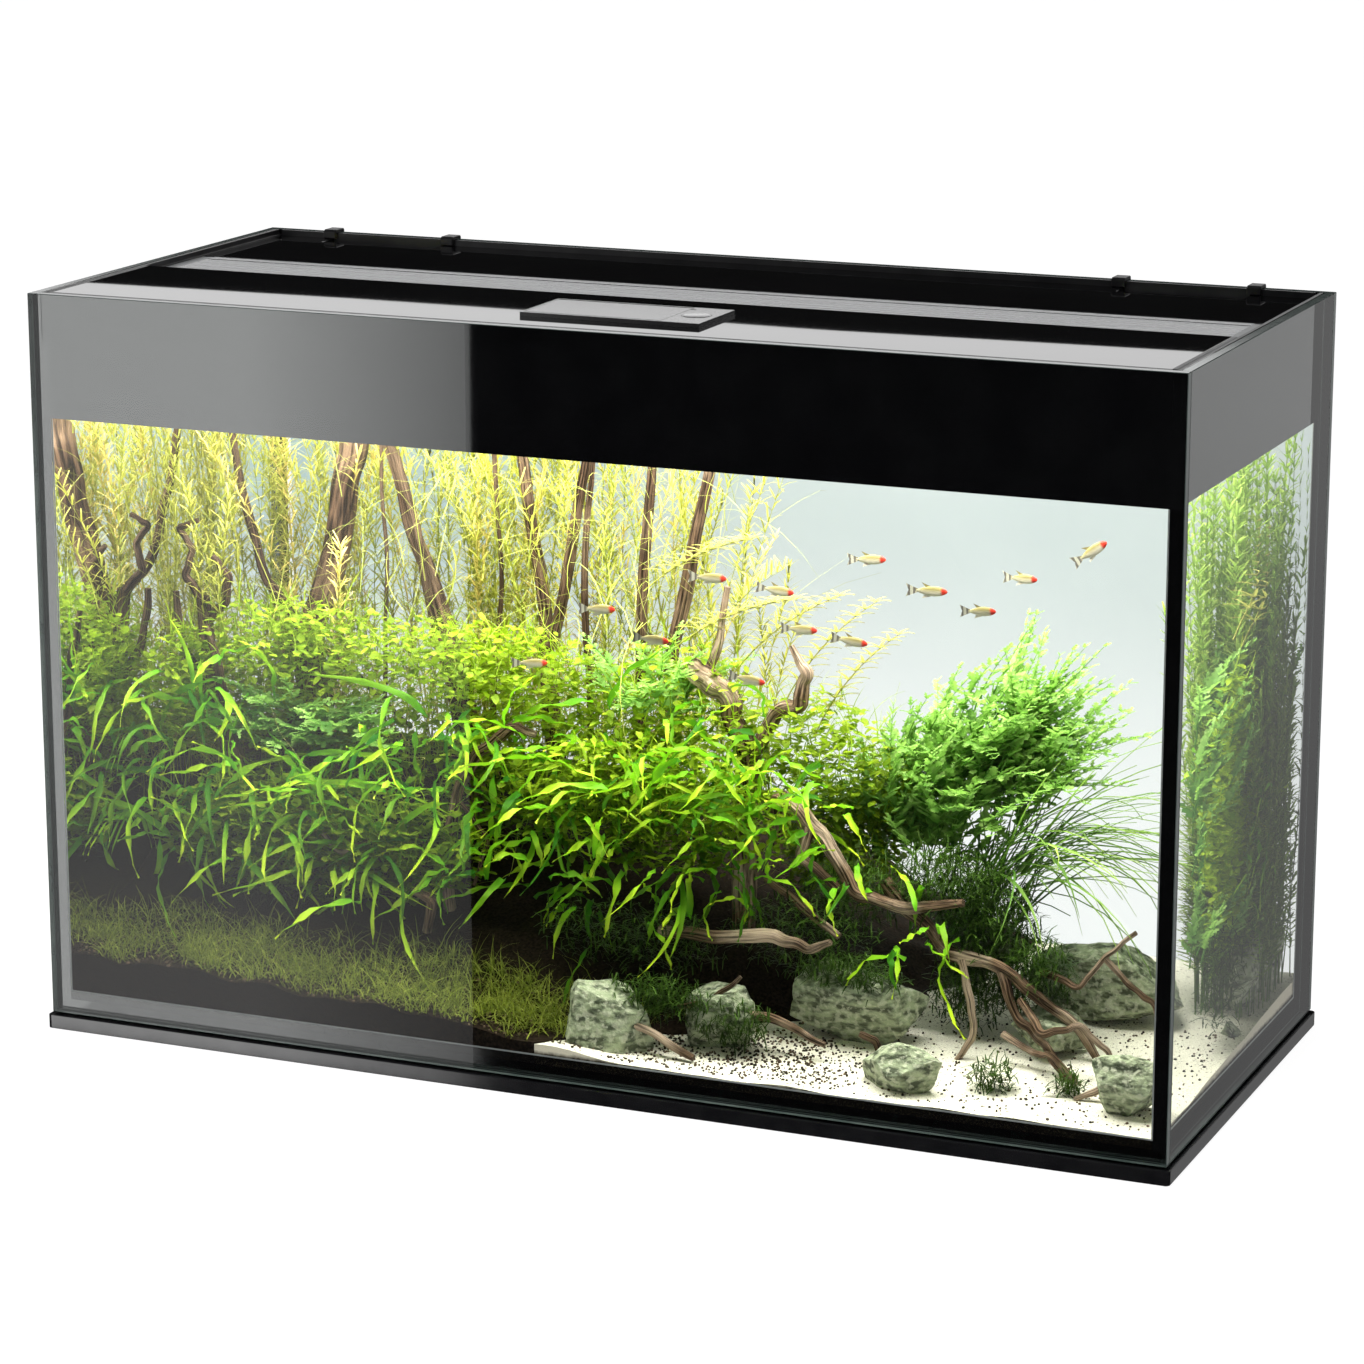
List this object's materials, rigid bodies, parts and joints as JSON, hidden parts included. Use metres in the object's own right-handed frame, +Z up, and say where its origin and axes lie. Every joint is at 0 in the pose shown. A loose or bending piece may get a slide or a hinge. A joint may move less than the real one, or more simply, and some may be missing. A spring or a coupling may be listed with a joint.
{
  "type": "aquarium",
  "caption": "Rectangular glass aquarium on a low base frame, with a sliding black cover, feeding flap, light button and sliding lamp beam over a planted landscape",
  "frame": {"origin": "middle of the base frame's underside, in the plane that the object stands on", "axes": "+Z up, +X to the right along the tank's width, the viewer and the front pane at -Y"},
  "size_m": [1.007, 0.437, 0.6438],
  "materials": {
    "base_plastic": "satin black moulded rim",
    "foam": "closed cell foam",
    "clear_glass": "clear float glass with polished green edges",
    "silicone": "black silicone joint",
    "black_film": "black film bonded behind the glass",
    "backdrop_film": "frosted pale blue film",
    "frame_plastic": "extruded black plastic",
    "cover_gloss": "polished black sheet",
    "control_plastic": "fine satin black plastic",
    "pin_steel": "ground steel wire",
    "dome_rubber": "moulded rubber",
    "circuit_board": "lacquered circuit board",
    "lamp_metal": "brushed and anodised extrusion",
    "lamp_end_plastic": "grey moulded end",
    "led_white": "white board with light sources",
    "lens": "opal lens",
    "screw_steel": "zinc plated",
    "soil": "dark granular soil",
    "sand": "pale sand with dark grit",
    "stone": "rough grey green stone, opaque",
    "wood": "weathered root wood",
    "stem_leaf": "yellow green leaves",
    "fern_leaf": "bright green leaves",
    "grass": "fine grass",
    "moss": "dark moss"
  },
  "bodies": {
    "tank": {"base_frame": "base_plastic", "support_mat": "foam", "floor_pane": "clear_glass", "front_pane": "clear_glass", "rear_pane": "clear_glass", "left_pane": "clear_glass", "right_pane": "clear_glass", "floor_seal": "silicone", "front_left_seal": "silicone", "front_right_seal": "silicone", "rear_left_seal": "silicone", "rear_right_seal": "silicone", "front_band": "black_film", "rear_band": "black_film", "left_band": "black_film", "right_band": "black_film", "background_film": "backdrop_film", "left_rail": "frame_plastic", "right_rail": "frame_plastic", "front_trim": "frame_plastic", "rear_trim": "frame_plastic", "rear_cover": "cover_gloss", "cover_clips": "frame_plastic", "soil_bed": "soil", "sand_bed": "sand", "rocks": "stone", "driftwood_trunks": "wood", "driftwood_claw": "wood", "driftwood_roots": "wood", "stem_plants": "stem_leaf", "fern_clumps": "fern_leaf", "fern_bush": "fern_leaf", "side_stems": "stem_leaf", "hairgrass_mat": "grass", "moss_pads": "moss"},
    "lid": {"front_lid": "cover_gloss", "left_runner": "frame_plastic", "right_runner": "frame_plastic", "control_plate": "control_plastic", "flap_pin": "pin_steel", "switch_board": "circuit_board", "button_dome": "dome_rubber"},
    "flap": {"feed_flap": "control_plastic"},
    "button": {"light_button": "control_plastic"},
    "lamp": {"lamp_housing": "lamp_metal", "left_lamp_end": "lamp_end_plastic", "right_lamp_end": "lamp_end_plastic", "led_board": "led_white", "lamp_lens": "lens", "lamp_screws": "screw_steel", "lamp_gland": "dome_rubber"}
  },
  "joints": [
    {"name": "lid_slide", "type": "slide", "parent": "tank", "child": "lid", "axis": [0, 1, 0], "range_m": [0, 0.23]},
    {"name": "flap_hinge", "type": "hinge", "parent": "lid", "child": "flap", "pos_m": [-0.01, -0.095, 0.6421], "axis": [-1, 0, 0], "range_deg": [0, 95]},
    {"name": "button_press", "type": "slide", "parent": "lid", "child": "button", "axis": [0, 0, -1], "range_m": [0, 0.0012], "stiffness_N_per_m": 600, "deforming": ["button_dome"]},
    {"name": "lamp_slide", "type": "slide", "parent": "tank", "child": "lamp", "axis": [0, 1, 0], "range_m": [-0.155, 0]}
  ]
}
